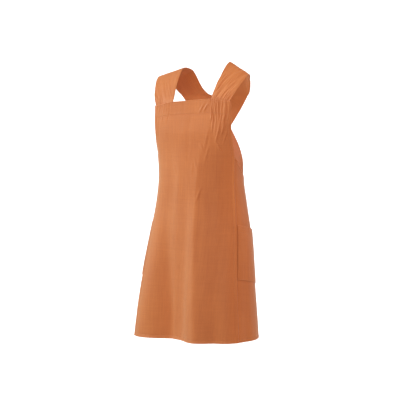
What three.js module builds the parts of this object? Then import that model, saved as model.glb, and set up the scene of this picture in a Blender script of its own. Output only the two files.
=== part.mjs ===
// A cross back apron of linen, in the form that it takes when it is worn.
// Millimetres, +Z up, the front towards -Y, the wearer's left towards +X.
// The origin is midway between the shoulders, at the height where the straps turn over them.
// A height is given as a drop: the distance below the origin.
import * as THREE from "three";

// Cloth
const CLOTH = 1.2; // one layer: body, band and pockets
const STRAP_CLOTH = 1.8; // a strap is folded double
const HEM_EXTRA = 0.8; // how much thicker a turned edge is
const HEM_TURN = 10; // width of a turned edge
const HEM_RAMP = 3; // over which its extra thickness fades
const GAP = 0.3; // between layers that share their rows and columns
const PATCH_GAP = 0.6; // between layers that don't

// Body
const HEM_DROP = 857;
const BIB_DROP = 103; // top edge of the bib
const SEAM_DROP = 279; // where the armhole crosses the side seam
const BACK_DROP = 362; // top edge of the back panels, where the straps are sewn on
const HEM_HALF_WIDTH = 202;
const HEM_DEPTH = 146; // half the depth of the hem, front to back
const BIB_TILT = 9; // how far the top edge's left end is pulled up and its right end let down
const BIB_SAG = 10; // how far both ends of it droop outside the straps' inner edges
const SEAM_LAP = 12; // back panel under front panel
const SEAM_STEP = 6; // over which the back panel comes out from under it
const BACK_OPENING = 100; // between the back edges
const BACK_SPREAD = 16; // how much further apart they hang at the hem
const FOLD_DEPTH = 10;

// Band along the top of the bib, folded over its edge
const BAND_HEIGHT = 42;
const PUCKER = 1.3; // height of the gathers where a strap is sewn in
const PUCKER_WAVES = 4;
const PUCKER_FADE = 46; // how far they run on below the band

// Straps
const STRAP_WIDTH = 86;
const STRAP_FRONT_WIDTH = 66; // gathered to this at the bib
const STRAP_EDGE = 2; // a strap's outer edge lies this far inside the bib's side
const STRAP_TAIL = 34; // sewn in behind the band and the back panels
const SHOULDER_HALF = 120; // centre line of the body to the middle of a strap at its crest
const CREST_BACK = 8; // how far behind the origin a strap's middle crosses the crest
const CREST_DROP = 8;
const CREST_TILT = 7.5; // how much higher the left strap's middle lies there, and how much lower the right one's
const CREST_LEAN = 4; // degrees by which the left strap slopes more there, and the right one less
const BLADE_DEPTH = 90; // origin to the straps over the shoulder blades
const STRAP_PLEAT = 1.2;
const PLEAT_WAVES = 3;
const PLEAT_END = 4.4; // station of the strap at which they have faded
const CROSS_REACH = 74; // along the upper strap, either side of the crossing, at its full lift
const CROSS_RAMP = 62; // over which it comes down
const CROSS_SLOPE = 33; // degrees between a strap and the vertical there

// Pockets
const POCKET_WIDTH = 150;
const POCKET_HEIGHT = 167;
const POCKET_DROP = 494; // front corner of the mouth
const POCKET_FALL = 32; // how much lower its back side hangs
const POCKET_SEAM_GAP = 4; // seam to the pocket's front edge
const POCKET_GAPE = 8; // how far the mouth stands open
const POCKET_SKEW = 5; // 1 opens it most in its middle, and more opens it nearer its back end

// The cloth's outline at several heights. drop is a share of HEM_DROP, width of HEM_HALF_WIDTH, and front, back
// and centre of HEM_DEPTH: the depth before and behind the widest place, and how far that place is to the rear.
// square is 2 for an ellipse and more for a flatter front.
const SECTIONS = [
  { drop: 0.1, width: 0.822, front: 0.65, back: 0.6, centre: 0.04, square: 6 },
  { drop: 0.16, width: 0.824, front: 0.7, back: 0.6, centre: 0.05, square: 4.6 },
  { drop: 0.23, width: 0.807, front: 0.77, back: 0.59, centre: 0.04, square: 3.3 },
  { drop: 0.28, width: 0.737, front: 0.74, back: 0.6, centre: -0.01, square: 3.1 },
  { drop: 0.33, width: 0.693, front: 0.7, back: 0.62, centre: -0.07, square: 2.8 },
  { drop: 0.41, width: 0.673, front: 0.68, back: 0.66, centre: -0.13, square: 2.5 },
  { drop: 0.5, width: 0.723, front: 0.76, back: 0.73, centre: -0.11, square: 2.3 },
  { drop: 0.6, width: 0.8, front: 0.83, back: 0.81, centre: -0.15, square: 2.2 },
  { drop: 0.72, width: 0.88, front: 0.87, back: 0.88, centre: -0.25, square: 2.1 },
  { drop: 0.86, width: 0.945, front: 0.91, back: 0.96, centre: -0.36, square: 2.1 },
  { drop: 1, width: 1, front: 0.94, back: 1.04, centre: -0.43, square: 2.1 },
];

// Flutes of the skirt. angle is in degrees round from the front at the hem, lean how far it moves towards the
// back on the way up, spread its half width in degrees, depth a share of FOLD_DEPTH, outwards when positive,
// and start the share of HEM_DROP below which it grows.
const FOLDS = [
  { angle: -146, lean: 0, spread: 12, depth: -0.5, start: 0.5 },
  { angle: -118, lean: 0, spread: 16, depth: 0.8, start: 0.5 },
  { angle: -80, lean: 4, spread: 17, depth: 0.47, start: 0.45 },
  { angle: -36, lean: 15, spread: 14.5, depth: -2.2, start: 0.42 },
  { angle: -11.6, lean: 2, spread: 26.8, depth: -4.8, start: 0.4 },
  { angle: 23, lean: -18, spread: 9.2, depth: 0.92, start: 0.26 },
  { angle: 39.6, lean: 0, spread: 9.2, depth: 0.4, start: 0.4 },
  { angle: 57.7, lean: 2, spread: 9, depth: 1.07, start: 0.5 },
  { angle: 80, lean: 0, spread: 5.9, depth: -0.4, start: 0.5 },
  { angle: 112, lean: 0, spread: 16, depth: 0.7, start: 0.5 },
  { angle: 140, lean: 0, spread: 12, depth: -0.6, start: 0.5 },
];

// Side edge of the front panel, in degrees round from the front: the armhole down to SEAM_DROP and then the
// seam. drop is a share of HEM_DROP.
const SIDE_EDGE = [
  { drop: 0.12, angle: 55.7 },
  { drop: 0.17, angle: 55.4 },
  { drop: 0.217, angle: 56 },
  { drop: 0.247, angle: 58 },
  { drop: 0.277, angle: 62.3 },
  { drop: 0.307, angle: 67.3 },
  { drop: 0.34, angle: 72.4 },
  { drop: 0.41, angle: 75.3 },
  { drop: 0.49, angle: 73.4 },
  { drop: 0.58, angle: 71.3 },
  { drop: 0.72, angle: 70.2 },
  { drop: 1, angle: 70.8 },
];

// The top edge of a back panel: the share of its fall that it has made at a share of its width from the seam.
const BACK_EDGE = [
  { across: 0, down: 0 },
  { across: 0.08, down: 0.22 },
  { across: 0.19, down: 0.45 },
  { across: 0.3, down: 0.64 },
  { across: 0.42, down: 0.81 },
  { across: 0.56, down: 0.95 },
  { across: 0.68, down: 1 },
  { across: 1, down: 1 },
];

// A strap's middle line from the bib (0) to the crest (1), each as a share of the way in that direction.
// slope is how far the outer edge is lower and sweep how far it is forward, in degrees.
const FRONT_ROUTE = [
  { across: 0.22, depth: 0.1, rise: 0.22, slope: 5, sweep: 1 },
  { across: 0.55, depth: 0.33, rise: 0.5, slope: 8, sweep: 1 },
  { across: 0.9, depth: 0.7, rise: 0.84, slope: 15, sweep: 4 },
  { across: 1, depth: 1, rise: 1, slope: 23, sweep: 11 },
];

// From the crest (0) over the back to the top of the opposite back panel (1). depth is a share of BLADE_DEPTH,
// and back says how far the strap lies on the wearer's back there. width is a share of STRAP_WIDTH.
const BACK_ROUTE = [
  { across: 0.07, depth: 0.56, drop: 0.045, slope: 29, sweep: 8, width: 1, back: 0 },
  { across: 0.17, depth: 0.86, drop: 0.16, slope: 32, sweep: 2, width: 1, back: 0.5 },
  { across: 0.34, depth: 1, drop: 0.33, slope: 33, sweep: 0, width: 1, back: 1 },
  { across: 0.54, depth: 1, drop: 0.53, slope: 33, sweep: 0, width: 1, back: 1 },
  { across: 0.74, depth: 1, drop: 0.73, slope: 30, sweep: 0, width: 1.01, back: 1 },
  { across: 0.9, depth: 0.9, drop: 0.89, slope: 15, sweep: 0, width: 1.07, back: 1 },
];

// Grid sizes
const HEM_ROWS = 9; // between the turned edges, from the hem to the seam's top
const ARMHOLE_ROWS = 5; // from there to the band
const BAND_ROWS = 3;
const CENTRE_COLUMNS = 12; // between the straps
const PUCKER_COLUMNS = 4 * PUCKER_WAVES; // at each strap
const BACK_COLUMNS = 14; // between the turned edges of a back panel
const ROUTE_STEPS = 2; // between two stations of a strap
const STRAP_COLUMNS = 4 * PLEAT_WAVES;
const POCKET_COLUMNS = 10;
const POCKET_ROWS = 9;

const { lerp, degToRad, clamp, smoothstep } = THREE.MathUtils;

// Value of one column of a table at a place between its rows, on a smooth curve through them.
function lookUp(table, key, place, column) {
  const last = table.length - 1;
  const slope = (a, b) => (table[b][column] - table[a][column]) / (table[b][key] - table[a][key]);
  const tangent = (i) => slope(Math.max(i - 1, 0), Math.min(i + 1, last));
  const at = clamp(place, table[0][key], table[last][key]);
  let i = 0;
  while (i < last - 1 && at > table[i + 1][key]) i++;
  const width = table[i + 1][key] - table[i][key];
  const t = (at - table[i][key]) / width;
  const [t2, t3] = [t * t, t * t * t];
  return (
    (2 * t3 - 3 * t2 + 1) * table[i][column] +
    (t3 - 2 * t2 + t) * width * tangent(i) +
    (3 * t2 - 2 * t3) * table[i + 1][column] +
    (t3 - t2) * width * tangent(i + 1)
  );
}

// Outline of the body's inner face at one height.
function outlineAt(drop) {
  const read = (column) => lookUp(SECTIONS, "drop", drop / HEM_DROP, column);
  return {
    half: read("width") * HEM_HALF_WIDTH,
    front: read("front") * HEM_DEPTH,
    back: read("back") * HEM_DEPTH,
    centre: read("centre") * HEM_DEPTH,
    square: read("square"),
  };
}

function foldAt(angle, drop) {
  const share = drop / HEM_DROP;
  return FOLDS.reduce((sum, fold) => {
    const grown = smoothstep(share, fold.start, 1);
    const middle = fold.angle + Math.sign(fold.angle) * fold.lean * (1 - share);
    const across = (angle - middle) / fold.spread;
    return sum + fold.depth * FOLD_DEPTH * grown * Math.exp(-across * across);
  }, 0);
}

// Point of the inner face, angle degrees round from the front towards the wearer's left.
function innerPoint(angle, drop) {
  const { half, front, back, centre, square } = outlineAt(drop);
  const [sine, cosine] = [Math.sin(degToRad(angle)), Math.cos(degToRad(angle))];
  const depth = cosine > 0 ? front : back;
  const sum = Math.abs(sine / half) ** square + Math.abs(cosine / depth) ** square;
  const radius = sum ** (-1 / square) + foldAt(angle, drop);
  return new THREE.Vector3(radius * sine, centre - radius * cosine, -drop);
}

const ANGLE_STEP = 0.5; // degrees, for measuring directions along the outline

// The inner face's point moved out along the level normal.
function clothPoint(angle, drop, out) {
  const before = innerPoint(angle - ANGLE_STEP, drop);
  const along = innerPoint(angle + ANGLE_STEP, drop).sub(before);
  const normal = new THREE.Vector3(along.y, -along.x, 0).normalize();
  return innerPoint(angle, drop).addScaledVector(normal, out);
}

// Angle reached by going a distance round the cloth from an angle.
function angleAlong(angle, distance, drop) {
  const steps = 16;
  let reached = angle;
  for (let i = 0; i < steps; i++) {
    const span = innerPoint(reached + ANGLE_STEP, drop).distanceTo(innerPoint(reached - ANGLE_STEP, drop));
    reached += ((distance / steps) * 2 * ANGLE_STEP) / span;
  }
  return reached;
}

// Angle of the front panel's side edge.
function sideAngle(drop) {
  return lookUp(SIDE_EDGE, "drop", drop / HEM_DROP, "angle");
}

// Share of the front panel's half width at a distance in from its side, at the bib's top.
function shareInside(distance) {
  const edge = sideAngle(BIB_DROP);
  return angleAlong(edge, -distance, BIB_DROP) / edge;
}

const STRAP_SHARE = shareInside(STRAP_EDGE + STRAP_FRONT_WIDTH); // where a strap's inner edge is sewn in

// The bib's top edge is pulled up at one end and droops at both, and this fades out down to the seam.
function tilted(drop, share) {
  const faded = clamp((SEAM_DROP - drop) / (SEAM_DROP - BIB_DROP), 0, 1);
  const outside = smoothstep(Math.abs(share), STRAP_SHARE, 1);
  return drop + faded * (BIB_SAG * outside - BIB_TILT * share);
}

// How much thicker the cloth is at a distance from a finished edge.
function turned(...distances) {
  return HEM_EXTRA * (1 - smoothstep(Math.min(...distances), HEM_TURN, HEM_TURN + HEM_RAMP));
}

// Places from 0 to a length: both ends, both inner borders of the turned edges, and even steps between.
function places(length, steps) {
  const border = HEM_TURN + HEM_RAMP;
  const middle = Array.from({ length: steps + 1 }, (_, i) => lerp(border, length - border, i / steps));
  return [0, HEM_TURN, ...middle, length - HEM_TURN, length];
}

// Gathers in the bib under a strap, as a movement outwards.
function puckerAt(share, drop) {
  const across = (Math.abs(share) - STRAP_SHARE) / (1 - STRAP_SHARE);
  if (across <= 0) return 0;
  const faded = 1 - smoothstep(drop, BIB_DROP + BAND_HEIGHT, BIB_DROP + BAND_HEIGHT + PUCKER_FADE);
  return PUCKER * faded * Math.sin(2 * Math.PI * PUCKER_WAVES * across);
}

// A closed wall between two grids of points. Columns run to the wearer's left, or to the right if flipped.
function wall(rows, columns, outer, inner, flipped = false) {
  const position = [];
  for (const face of [outer, inner])
    for (let row = 0; row <= rows; row++)
      for (let column = 0; column <= columns; column++) position.push(...face(row, column).toArray());
  const index = [];
  const at = (face, row, column) => (face * (rows + 1) + row) * (columns + 1) + column;
  const quad = (a, b, c, d) => (flipped ? index.push(a, c, b, a, d, c) : index.push(a, b, c, a, c, d));
  for (let r = 0; r < rows; r++)
    for (let c = 0; c < columns; c++) {
      quad(at(0, r, c), at(0, r, c + 1), at(0, r + 1, c + 1), at(0, r + 1, c));
      quad(at(1, r, c), at(1, r + 1, c), at(1, r + 1, c + 1), at(1, r, c + 1));
    }
  for (let c = 0; c < columns; c++) {
    quad(at(0, 0, c), at(1, 0, c), at(1, 0, c + 1), at(0, 0, c + 1));
    quad(at(0, rows, c), at(0, rows, c + 1), at(1, rows, c + 1), at(1, rows, c));
  }
  for (let r = 0; r < rows; r++) {
    quad(at(0, r, 0), at(0, r + 1, 0), at(1, r + 1, 0), at(1, r, 0));
    quad(at(0, r, columns), at(1, r, columns), at(1, r + 1, columns), at(0, r + 1, columns));
  }
  return new THREE.BufferGeometry()
    .setAttribute("position", new THREE.Float32BufferAttribute(position, 3))
    .setIndex(index);
}

// Shares of the front panel's half width, closer together where a strap gathers it.
function frontColumns() {
  const shares = [];
  for (let i = PUCKER_COLUMNS; i > 0; i--) shares.push(-lerp(STRAP_SHARE, 1, i / PUCKER_COLUMNS));
  for (let i = 0; i <= CENTRE_COLUMNS; i++)
    shares.push(lerp(-STRAP_SHARE, STRAP_SHARE, i / CENTRE_COLUMNS));
  for (let i = 1; i <= PUCKER_COLUMNS; i++) shares.push(lerp(STRAP_SHARE, 1, i / PUCKER_COLUMNS));
  return shares;
}

function bandDrops() {
  return Array.from({ length: BAND_ROWS + 1 }, (_, i) => BIB_DROP + (BAND_HEIGHT * i) / BAND_ROWS);
}

// A point of the front panel, band or sewn-in strap end, out from the panel's inner face.
function frontPoint(share, drop, out) {
  return clothPoint(share * sideAngle(drop), tilted(drop, share), out + puckerAt(share, drop));
}

// Front panel: bib and skirt in one, from side seam to side seam.
function frontPanel() {
  const shares = frontColumns();
  const length = HEM_DROP - SEAM_DROP;
  const skirt = places(length, HEM_ROWS).map((up) => HEM_DROP - up);
  const bandFoot = BIB_DROP + BAND_HEIGHT;
  const chest = Array.from({ length: ARMHOLE_ROWS - 1 }, (_, i) =>
    lerp(SEAM_DROP, bandFoot, (i + 1) / ARMHOLE_ROWS),
  );
  const drops = [...skirt, ...chest, ...bandDrops().reverse()];
  const outer = (row, column) => frontPoint(shares[column], drops[row], CLOTH);
  const inner = (row, column) => {
    const [share, drop] = [shares[column], drops[row]];
    const width = degToRad(sideAngle(drop)) * innerPoint(share * sideAngle(drop), drop).length();
    const toArmhole = drop < SEAM_DROP && drop > bandFoot ? (1 - Math.abs(share)) * width : Infinity;
    return frontPoint(share, drop, -turned(HEM_DROP - drop, toArmhole));
  };
  return wall(drops.length - 1, shares.length - 1, outer, inner);
}

// Band: a strip folded over the top edge of the bib, one leg in front of it and one behind.
function bibBand() {
  const shares = frontColumns();
  const drops = bandDrops();
  const top = BIB_DROP - GAP;
  const outside = [...drops].reverse().map((drop) => [drop, 2 * CLOTH + GAP]);
  outside.push([top - CLOTH, CLOTH], [top - CLOTH, 0]);
  outside.push(...drops.map((drop) => [drop, -CLOTH - GAP]));
  const inside = [...drops].reverse().map((drop) => [drop, CLOTH + GAP]);
  inside.push([top, CLOTH], [top, 0]);
  inside.push(...drops.map((drop) => [drop, -GAP]));
  const face = (profile) => (row, column) => {
    const [drop, out] = profile[row];
    const share = shares[column];
    return frontPoint(share, Math.max(drop, BIB_DROP), out).add({ x: 0, y: 0, z: Math.max(BIB_DROP - drop, 0) });
  };
  return wall(outside.length - 1, shares.length - 1, face(outside), face(inside));
}

// Width of a back panel round the cloth, from the seam to its back edge.
function backWidth(drop) {
  const open = BACK_OPENING + BACK_SPREAD * clamp((drop - BACK_DROP) / (HEM_DROP - BACK_DROP), 0, 1);
  const [from, to] = [sideAngle(drop), angleAlong(180, -open / 2, drop)];
  const steps = 24;
  let width = 0;
  for (let i = 0; i < steps; i++) {
    const [a, b] = [lerp(from, to, i / steps), lerp(from, to, (i + 1) / steps)];
    width += innerPoint(a, drop).distanceTo(innerPoint(b, drop));
  }
  return width;
}

// A point of a back panel at a distance round from the seam, under the front panel's edge at first.
function backPoint(side, distance, drop, out) {
  const under = HEM_EXTRA + PATCH_GAP + CLOTH;
  const depth = out - under * (1 - smoothstep(distance, 0, SEAM_STEP));
  const angle = side * sideAngle(drop);
  return clothPoint(angleAlong(angle, side * distance, drop), drop, depth);
}

// Top edge of a back panel at a distance from the seam.
function backTop(distance) {
  const share = clamp(distance / backWidth(BACK_DROP), 0, 1);
  return lerp(SEAM_DROP, BACK_DROP, lookUp(BACK_EDGE, "across", share, "down"));
}

// Back panel, from under the front panel's edge round to the opening at the back.
function backPanel(side) {
  const full = backWidth(BACK_DROP);
  const near = [-SEAM_LAP, 0, SEAM_STEP];
  const rest = places(full - SEAM_STEP, BACK_COLUMNS).slice(2);
  const shares = [...near, ...rest.map((place) => place + SEAM_STEP)].map((place) => place / full);
  const place = (share, drop) => (share > 0 ? share * backWidth(drop) : share * full);
  const drops = shares.map((share) => {
    const top = backTop(share * full);
    return places(HEM_DROP - top, HEM_ROWS).map((up) => HEM_DROP - up);
  });
  const rows = drops[0].length - 1;
  const outer = (row, column) => {
    const drop = drops[column][row];
    return backPoint(side, place(shares[column], drop), drop, CLOTH);
  };
  const inner = (row, column) => {
    const drop = drops[column][row];
    const distance = place(shares[column], drop);
    const toEdges = [HEM_DROP - drop, drop - drops[column][rows], backWidth(drop) - distance];
    return backPoint(side, distance, drop, -turned(...toEdges));
  };
  return wall(rows, shares.length - 1, outer, inner, side < 0);
}

// Pocket: a patch sewn on at its sides and foot, with its mouth standing open.
function pocket(side) {
  const face = (out) => (row, column) => {
    const [up, share] = [row / POCKET_ROWS, column / POCKET_COLUMNS];
    const drop = POCKET_DROP + POCKET_HEIGHT * (1 - up) + POCKET_FALL * share;
    const skew = Math.sin(Math.PI * share ** POCKET_SKEW);
    const open = POCKET_GAPE * skew * smoothstep(up, 0, 1) * up;
    const distance = SEAM_STEP + POCKET_SEAM_GAP + POCKET_WIDTH * share;
    return backPoint(side, distance, drop, CLOTH + PATCH_GAP + open + out);
  };
  return wall(POCKET_ROWS, POCKET_COLUMNS, face(CLOTH), face(0), side < 0);
}

// Edge points of one station of a strap from its middle, its width and the two angles of its outer side.
function station(middle, width, slope, sweep) {
  const [down, forward] = [degToRad(slope), degToRad(sweep)];
  const across = new THREE.Vector3(
    Math.cos(down) * Math.cos(forward),
    -Math.cos(down) * Math.sin(forward),
    -Math.sin(down),
  );
  return {
    inner: middle.clone().addScaledVector(across, -width / 2),
    outer: middle.clone().addScaledVector(across, width / 2),
  };
}

// Stations of a strap that starts on one side of the bib, as if that were the wearer's left. back says how far
// a station lies on the wearer's back. There x is its distance round the cloth from the middle of the back.
function strapStations(side) {
  const behindBand = -(PUCKER + 2 * GAP + CLOTH + STRAP_CLOTH / 2);
  const onBib = (share, drop) => {
    const point = clothPoint(side * share * sideAngle(drop), tilted(drop, side * share), behindBand);
    point.x *= side;
    return point;
  };
  const fromBib = (drop) => ({
    inner: onBib(STRAP_SHARE, drop),
    outer: onBib(shareInside(STRAP_EDGE), drop),
    back: 0,
  });
  const bibTop = fromBib(BIB_DROP);
  const start = bibTop.inner.clone().lerp(bibTop.outer, 0.5);
  const crest = new THREE.Vector3(SHOULDER_HALF, CREST_BACK, side * CREST_TILT - CREST_DROP);
  const front = FRONT_ROUTE.map((row) => {
    const middle = new THREE.Vector3(
      lerp(start.x, crest.x, row.across),
      lerp(start.y, crest.y, row.depth),
      lerp(start.z, crest.z, row.rise),
    );
    const width = lerp(STRAP_FRONT_WIDTH, STRAP_WIDTH, row.rise);
    return { ...station(middle, width, row.slope + side * CREST_LEAN * row.rise, row.sweep), back: 0 };
  });

  const edge = (BACK_OPENING + HEM_TURN) / 2;
  const cutWidth = STRAP_WIDTH / Math.cos(degToRad(CROSS_SLOPE)); // cut level where it is sewn on
  const sewnOn = (drop) => ({
    inner: new THREE.Vector3(-edge - cutWidth, BLADE_DEPTH, -drop),
    outer: new THREE.Vector3(-edge, BLADE_DEPTH, -drop),
    back: 1,
  });
  const back = BACK_ROUTE.map((row) => {
    const middle = new THREE.Vector3(
      lerp(crest.x, -edge - cutWidth / 2, row.across),
      row.depth * BLADE_DEPTH,
      lerp(crest.z, -BACK_DROP, row.drop),
    );
    return { ...station(middle, row.width * STRAP_WIDTH, row.slope, row.sweep), back: row.back };
  });
  return [
    fromBib(BIB_DROP + STRAP_TAIL),
    bibTop,
    ...front,
    ...back,
    sewnOn(BACK_DROP),
    sewnOn(BACK_DROP + STRAP_TAIL),
  ];
}

// Strap: from behind the band over the shoulder, and across the back to the other side.
function strap(side, onTop) {
  const stations = strapStations(side);
  const last = stations.length - 1;
  const inner = new THREE.CatmullRomCurve3(stations.map((one) => one.inner));
  const outer = new THREE.CatmullRomCurve3(stations.map((one) => one.outer));
  const lying = stations.map((one, place) => ({ place, back: one.back }));
  const inBack = -(HEM_EXTRA + PATCH_GAP + STRAP_CLOTH / 2);

  // Middle of the strap's thickness
  const middle = (along, across) => {
    const [near, far] = [inner.getPoint(along), outer.getPoint(along)];
    const point = near.clone().lerp(far, across);
    const back = clamp(lookUp(lying, "place", along * last, "back"), 0, 1);
    if (back === 0) return point;
    const fromCrossing = Math.abs(near.x + far.x) / 2 / Math.sin(degToRad(CROSS_SLOPE));
    const lifted = onTop ? 1 - smoothstep(fromCrossing, CROSS_REACH, CROSS_REACH + CROSS_RAMP) : 0;
    const drop = -point.z;
    const out = inBack + lifted * back * (STRAP_CLOTH + 2 * GAP);
    return point.lerp(clothPoint(angleAlong(180, -point.x, drop), drop, out), back);
  };
  const normal = (along, across) => {
    const nudge = 1e-3;
    const [low, high] = [Math.max(along - nudge, 0), Math.min(along + nudge, 1)];
    const [left, right] = [Math.max(across - nudge, 0), Math.min(across + nudge, 1)];
    const up = middle(high, across).sub(middle(low, across));
    const out = middle(along, right).sub(middle(along, left));
    return out.cross(up).normalize();
  };
  const pleatAt = (along, across) => {
    const place = along * last;
    const shown = smoothstep(place, 1, 1.6) * (1 - smoothstep(place, 1.6, PLEAT_END));
    return STRAP_PLEAT * shown * Math.sin(2 * Math.PI * PLEAT_WAVES * across);
  };
  const steps = ROUTE_STEPS * last;
  const face = (out) => (row, column) => {
    const [along, across] = [row / steps, column / STRAP_COLUMNS];
    const point = middle(along, across).addScaledVector(normal(along, across), out + pleatAt(along, across));
    point.x *= side;
    return point;
  };
  return wall(steps, STRAP_COLUMNS, face(STRAP_CLOTH / 2), face(-STRAP_CLOTH / 2), side < 0);
}

// Colours
const LINEN = 0xc67545;
const linen = (shade) =>
  new THREE.MeshStandardMaterial({
    color: new THREE.Color(LINEN).multiplyScalar(shade),
    roughness: 0.9,
    metalness: 0,
  });

const apron = new THREE.Group();

function add(name, geometry, shade = 1) {
  const mesh = new THREE.Mesh(geometry, linen(shade));
  mesh.name = name;
  apron.add(mesh);
}

add("front_panel", frontPanel());
add("bib_band", bibBand(), 0.98);
for (const [name, side] of [["left", 1], ["right", -1]]) {
  add(`back_panel_${name}`, backPanel(side), 0.97);
  add(`pocket_${name}`, pocket(side), 1.02);
  add(`strap_${name}`, strap(side, side > 0), 1.02);
}

export default apron;
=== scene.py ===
import bpy
import numpy as np
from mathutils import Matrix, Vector


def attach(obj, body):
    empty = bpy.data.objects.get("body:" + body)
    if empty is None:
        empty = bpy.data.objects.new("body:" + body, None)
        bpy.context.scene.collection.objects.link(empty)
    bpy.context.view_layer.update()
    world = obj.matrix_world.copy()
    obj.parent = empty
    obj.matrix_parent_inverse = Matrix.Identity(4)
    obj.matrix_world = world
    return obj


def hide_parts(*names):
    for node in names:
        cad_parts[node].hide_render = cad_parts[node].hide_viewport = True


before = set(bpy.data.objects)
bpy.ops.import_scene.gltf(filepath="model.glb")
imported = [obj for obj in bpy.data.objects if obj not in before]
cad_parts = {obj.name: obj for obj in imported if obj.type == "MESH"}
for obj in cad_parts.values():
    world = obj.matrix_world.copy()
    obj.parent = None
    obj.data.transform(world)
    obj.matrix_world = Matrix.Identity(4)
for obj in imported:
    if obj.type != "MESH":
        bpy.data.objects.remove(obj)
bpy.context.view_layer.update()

MM = 0.001

# Sizes of the apron, in millimetres and degrees, as in the CAD
CLOTH = 1.2
STRAP_CLOTH = 1.8
HEM_EXTRA = 0.8
HEM_TURN = 10
HEM_RAMP = 3
GAP = 0.3
PATCH_GAP = 0.6
HEM_DROP = 857
BIB_DROP = 103
SEAM_DROP = 279
BACK_DROP = 362
HEM_HALF_WIDTH = 202
HEM_DEPTH = 146
BIB_TILT = 9
BIB_SAG = 10
SEAM_LAP = 12
SEAM_STEP = 6
BACK_OPENING = 100
BACK_SPREAD = 16
FOLD_DEPTH = 10
BAND_HEIGHT = 42
PUCKER = 1.3
PUCKER_WAVES = 4
PUCKER_FADE = 46
STRAP_WIDTH = 86
STRAP_FRONT_WIDTH = 66
STRAP_EDGE = 2
STRAP_TAIL = 34
SHOULDER_HALF = 120
CREST_BACK = 8
CREST_DROP = 8
CREST_TILT = 7.5
CREST_LEAN = 4
BLADE_DEPTH = 90
STRAP_PLEAT = 1.2
PLEAT_WAVES = 3
PLEAT_END = 4.4
CROSS_REACH = 74
CROSS_RAMP = 62
CROSS_SLOPE = 33
POCKET_WIDTH = 150
POCKET_HEIGHT = 167
POCKET_DROP = 494
POCKET_FALL = 32
POCKET_SEAM_GAP = 4
POCKET_GAPE = 8
POCKET_SKEW = 5

# Numbers of what only the scene shows, with lengths in millimetres
STITCH_IN = 8.6  # a stitch line from its edge
GROOVE = 0.45
HEM_CURL = 1.5
GATHER_WAVES = PUCKER_WAVES + 3.5
GATHER_SPREAD = 0.0034  # turn inwards below the band, as a share of their width to a millimetre
CREASE_STRENGTH = 1.5  # times the heights in their table
CREST_HEIGHT = 3.5
CREST_SHIFT = 1.3  # degrees
SEAM_RIDGE = 1.5
POCKET_STITCH = 2.6
MOUTH_STITCH = 20.5

# Outline at several heights: drop, width, front, back, centre, square
SECTIONS = np.array(
    [
        [0.1, 0.822, 0.65, 0.6, 0.04, 6],
        [0.16, 0.824, 0.7, 0.6, 0.05, 4.6],
        [0.23, 0.807, 0.77, 0.59, 0.04, 3.3],
        [0.28, 0.737, 0.74, 0.6, -0.01, 3.1],
        [0.33, 0.693, 0.7, 0.62, -0.07, 2.8],
        [0.41, 0.673, 0.68, 0.66, -0.13, 2.5],
        [0.5, 0.723, 0.76, 0.73, -0.11, 2.3],
        [0.6, 0.8, 0.83, 0.81, -0.15, 2.2],
        [0.72, 0.88, 0.87, 0.88, -0.25, 2.1],
        [0.86, 0.945, 0.91, 0.96, -0.36, 2.1],
        [1, 1, 0.94, 1.04, -0.43, 2.1],
    ]
)

# Flutes of the skirt: angle, lean, spread, depth, start
FOLDS = [
    (-146, 0, 12, -0.5, 0.5),
    (-118, 0, 16, 0.8, 0.5),
    (-80, 4, 17, 0.47, 0.45),
    (-36, 15, 14.5, -2.2, 0.42),
    (-11.6, 2, 26.8, -4.8, 0.4),
    (23, -18, 9.2, 0.92, 0.26),
    (39.6, 0, 9.2, 0.4, 0.4),
    (57.7, 2, 9, 1.07, 0.5),
    (80, 0, 5.9, -0.4, 0.5),
    (112, 0, 16, 0.7, 0.5),
    (140, 0, 12, -0.6, 0.5),
]

# Softer hollows and swells between them: angle, lean, spread, and height in millimetres
SWELLS = [
    (-60, 9.5, 8.4, 3.6),
    (-42.8, 10, 15.5, -9),
    (-34, -3, 16, -9),
    (13, -8, 5, 2.2),
    (43.5, -10, 8.2, -5.1),
    (52.5, 10, 12.2, -8.9),
]

# Side edge of the front panel: drop, angle
SIDE_EDGE = np.array(
    [
        [0.12, 55.7],
        [0.17, 55.4],
        [0.217, 56],
        [0.247, 58],
        [0.277, 62.3],
        [0.307, 67.3],
        [0.34, 72.4],
        [0.41, 75.3],
        [0.49, 73.4],
        [0.58, 71.3],
        [0.72, 70.2],
        [1, 70.8],
    ]
)

# Top edge of a back panel: across, down
BACK_EDGE = np.array(
    [[0, 0], [0.08, 0.22], [0.19, 0.45], [0.3, 0.64], [0.42, 0.81], [0.56, 0.95], [0.68, 1], [1, 1]]
)

# A strap's way from the bib to the crest: across, depth, rise, slope, sweep
FRONT_ROUTE = [
    (0.22, 0.1, 0.22, 5, 1),
    (0.55, 0.33, 0.5, 8, 1),
    (0.9, 0.7, 0.84, 15, 4),
    (1, 1, 1, 23, 11),
]

# And from there over the back: across, depth, drop, slope, sweep, width, back
BACK_ROUTE = [
    (0.07, 0.56, 0.045, 29, 8, 1, 0),
    (0.17, 0.86, 0.16, 32, 2, 1, 0.5),
    (0.34, 1, 0.33, 33, 0, 1, 1),
    (0.54, 1, 0.53, 33, 0, 1, 1),
    (0.74, 1, 0.73, 30, 0, 1.01, 1),
    (0.9, 0.9, 0.89, 15, 0, 1.07, 1),
]

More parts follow.
